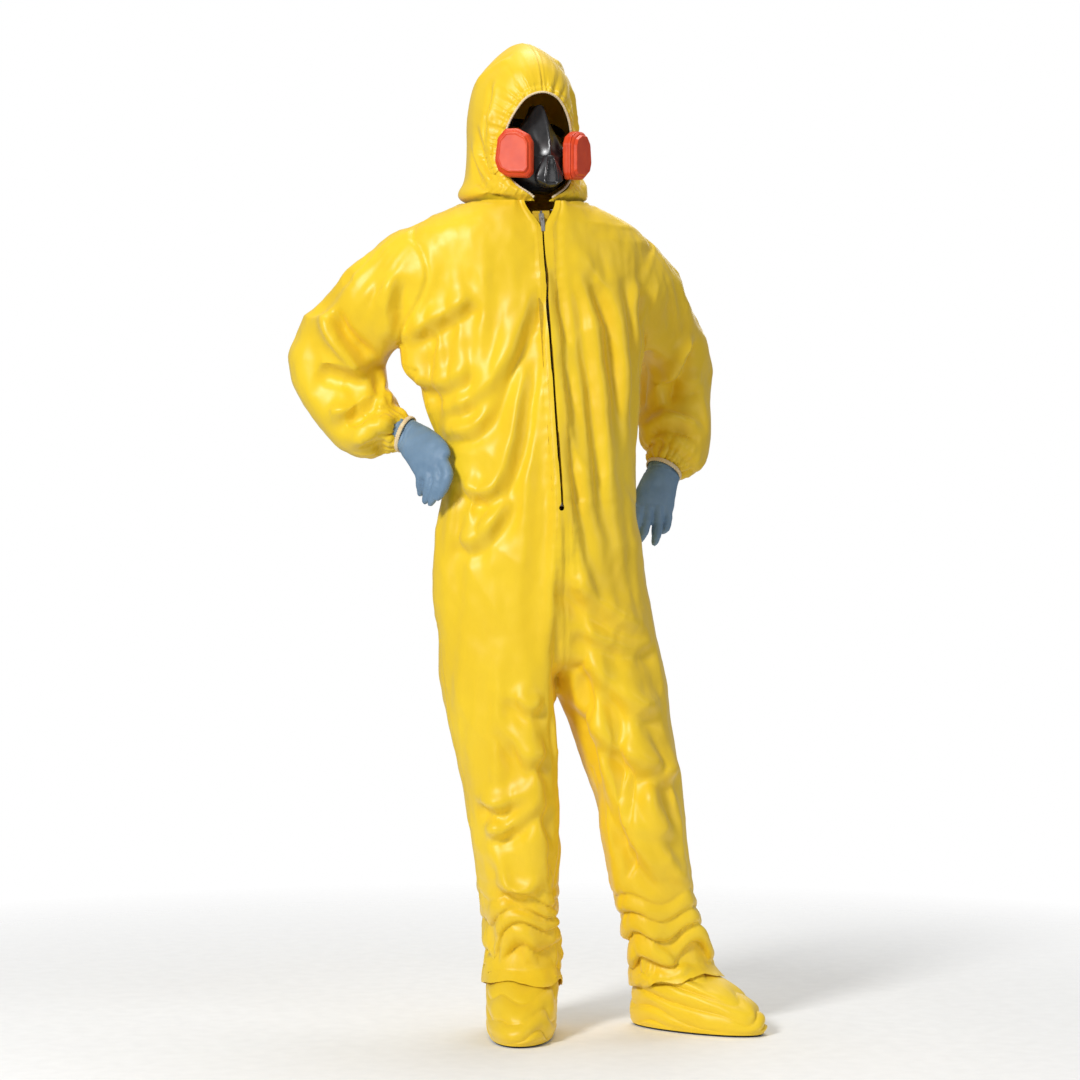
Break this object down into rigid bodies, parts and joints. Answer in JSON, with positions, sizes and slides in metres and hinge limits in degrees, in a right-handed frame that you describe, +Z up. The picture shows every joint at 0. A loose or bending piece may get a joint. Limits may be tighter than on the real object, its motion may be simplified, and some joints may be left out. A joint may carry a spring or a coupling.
{
  "type": "chemical protective suit",
  "caption": "Hooded chemical protective coverall with front zip, boot covers, rubber gloves and a half-mask respirator with twist-on filter cartridges, in its worn stance.",
  "frame": {"origin": "on the floor, under the middle of the suit's bounding box", "axes": "+Z up; the chest faces -Y; the wearer's left is +X"},
  "size_m": [0.857, 0.4222, 1.849],
  "materials": {
    "yellow_fabric": "thin coated fabric, soft gloss",
    "zip_tape": "woven tape, matte",
    "cream_elastic": "elastic binding, matte",
    "blue_rubber": "thin nitrile glove, satin",
    "sole_rubber": "anti-slip sole, matte",
    "black_rubber": "moulded rubber, glossy",
    "black_plastic": "moulded plastic, semi-gloss",
    "orange_plastic": "moulded plastic, satin",
    "black_webbing": "elastic webbing, matte",
    "clear_silicone": "translucent silicone",
    "carbon": "packed carbon granules",
    "nickel": "nickel-plated zip metal"
  },
  "bodies": {
    "suit": {"right_front_panel": "yellow_fabric", "right_back_panel": "yellow_fabric", "right_sleeve": "yellow_fabric", "hood_right_panel": "yellow_fabric", "right_boot_cover": "yellow_fabric", "right_wrist_elastic": "cream_elastic", "right_ankle_elastic": "cream_elastic", "right_sole": "sole_rubber", "zip_tape_right": "zip_tape", "zip_teeth_right": "black_plastic", "right_inhalation_port": "black_plastic", "zip_top_stop_right": "nickel", "right_glove": "blue_rubber", "right_upper_strap": "black_webbing", "right_lower_strap": "black_webbing", "left_front_panel": "yellow_fabric", "left_back_panel": "yellow_fabric", "left_sleeve": "yellow_fabric", "hood_left_panel": "yellow_fabric", "left_boot_cover": "yellow_fabric", "left_wrist_elastic": "cream_elastic", "left_ankle_elastic": "cream_elastic", "left_sole": "sole_rubber", "zip_tape_left": "zip_tape", "zip_teeth_left": "black_plastic", "left_inhalation_port": "black_plastic", "zip_top_stop_left": "nickel", "left_glove": "blue_rubber", "left_upper_strap": "black_webbing", "left_lower_strap": "black_webbing", "face_elastic": "cream_elastic", "zip_bottom_stop": "nickel", "facepiece": "black_rubber", "exhalation_seat": "black_plastic", "exhalation_cover": "black_plastic", "head_cradle": "black_plastic", "neck_clasp_eye": "black_plastic", "neck_clasp_hook": "black_plastic"},
    "zip_slider": {"zip_slider": "nickel"},
    "zip_puller": {"zip_puller": "nickel"},
    "right_cartridge": {"right_cartridge_shell": "orange_plastic", "right_cartridge_cover": "orange_plastic", "right_carbon_bed": "carbon", "right_cartridge_gasket": "black_rubber"},
    "left_cartridge": {"left_cartridge_shell": "orange_plastic", "left_cartridge_cover": "orange_plastic", "left_carbon_bed": "carbon", "left_cartridge_gasket": "black_rubber"},
    "right_inhalation_flap": {"right_inhalation_flap": "clear_silicone"},
    "left_inhalation_flap": {"left_inhalation_flap": "clear_silicone"},
    "exhalation_flap": {"exhalation_flap": "clear_silicone"}
  },
  "joints": [
    {"name": "zip_travel", "type": "slide", "parent": "suit", "child": "zip_slider", "axis": [0.0526, -0.0871, -0.9948], "range_m": [0, 0.515]},
    {"name": "puller_swing", "type": "hinge", "parent": "zip_slider", "child": "zip_puller", "pos_m": [0.0074, -0.13353, 1.51534], "axis": [-0.9986, -0.0046, -0.0524], "range_deg": [0, 100]},
    {"name": "right_cartridge_twist", "type": "hinge", "parent": "suit", "child": "right_cartridge", "pos_m": [-0.048, -0.14854, 1.63], "axis": [0.4285, 0.9036, 0], "range_deg": [0, 30]},
    {"name": "left_cartridge_twist", "type": "hinge", "parent": "suit", "child": "left_cartridge", "pos_m": [0.07744, -0.12302, 1.63], "axis": [0.7475, -0.6643, 0], "range_deg": [0, 30]},
    {"name": "right_inhalation_flap_lift", "type": "slide", "parent": "suit", "child": "right_inhalation_flap", "axis": [0.4285, 0.9036, 0], "range_m": [0, 0.002], "stiffness_N_per_m": 20},
    {"name": "left_inhalation_flap_lift", "type": "slide", "parent": "suit", "child": "left_inhalation_flap", "axis": [-0.7475, 0.6643, 0], "range_m": [0, 0.002], "stiffness_N_per_m": 20},
    {"name": "exhalation_flap_lift", "type": "slide", "parent": "suit", "child": "exhalation_flap", "axis": [0.1994, -0.9799, 0], "range_m": [0, 0.003], "stiffness_N_per_m": 20}
  ]
}
